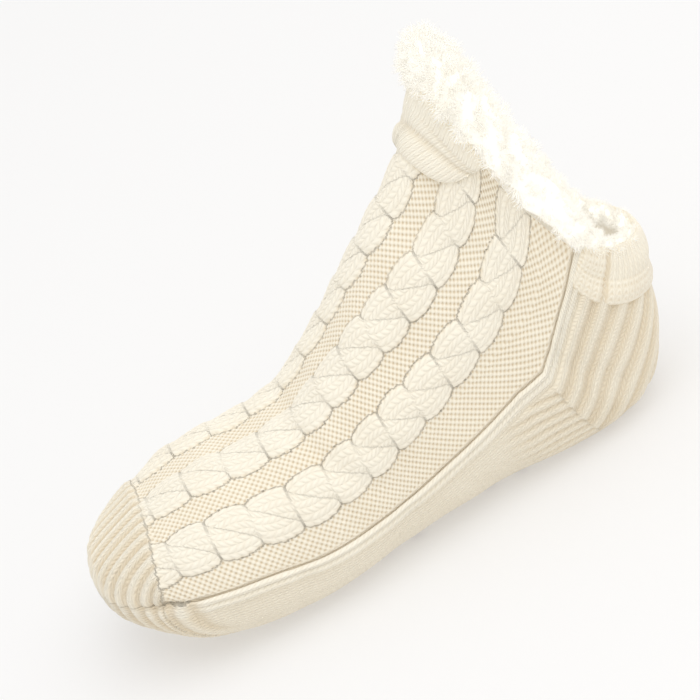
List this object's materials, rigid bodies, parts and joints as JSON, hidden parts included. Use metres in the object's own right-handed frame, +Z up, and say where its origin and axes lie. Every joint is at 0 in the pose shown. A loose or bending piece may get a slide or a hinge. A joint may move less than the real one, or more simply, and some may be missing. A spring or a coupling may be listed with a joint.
{
  "type": "slipper sock",
  "caption": "Cable-knit slipper sock with a plush lining that stands out of its slanted collar, a rolled front hem and a turned-over heel cuff.",
  "frame": {"origin": "on the floor under the middle of the sock's bounding box", "axes": "toe towards -X, heel towards +X, +Z up out of the sole; -Y is the side that the picture shows"},
  "size_m": [0.2536, 0.0974, 0.1891],
  "materials": {
    "knit": "cream wool-like knit, soft and matt",
    "plush": "off-white deep pile plush, matt"
  },
  "bodies": {
    "root": {"knit_body": "knit", "heel_cuff": "knit", "front_hem": "knit", "fleece_collar": "plush"}
  },
  "joints": []
}
